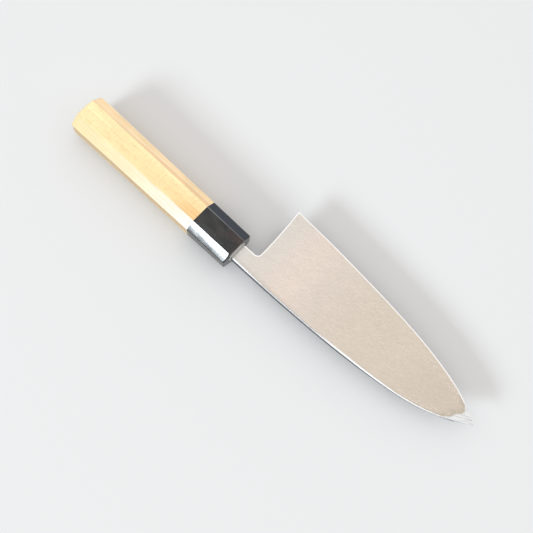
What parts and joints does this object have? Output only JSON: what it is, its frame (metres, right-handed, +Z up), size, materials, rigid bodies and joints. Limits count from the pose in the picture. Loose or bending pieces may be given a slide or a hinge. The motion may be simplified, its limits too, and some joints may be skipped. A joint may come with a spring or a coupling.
{
  "type": "deba knife",
  "caption": "Single-bevel deba kitchen knife: laminated blade with a hollow back, and an octagonal wooden handle with a horn ferrule.",
  "frame": {"origin": "middle of the flat underside of the wooden handle", "axes": "+X along the handle towards the blade's tip, +Y across the blade towards the cutting edge, +Z up out of the blade's hollow back"},
  "size_m": [0.3339, 0.0631, 0.0237],
  "materials": {
    "hard_steel": "satin along the blade, polished rim and tip",
    "soft_steel": "satin cheek, hazy bevel",
    "magnolia_wood": "fine sanded, unvarnished",
    "buffalo_horn": "polished black horn",
    "sealing_resin": "smooth dark resin"
  },
  "bodies": {
    "root": {"blade_core": "hard_steel", "blade_cladding": "soft_steel", "handle_body": "magnolia_wood", "horn_ferrule": "buffalo_horn", "tang_seal": "sealing_resin"}
  },
  "joints": []
}
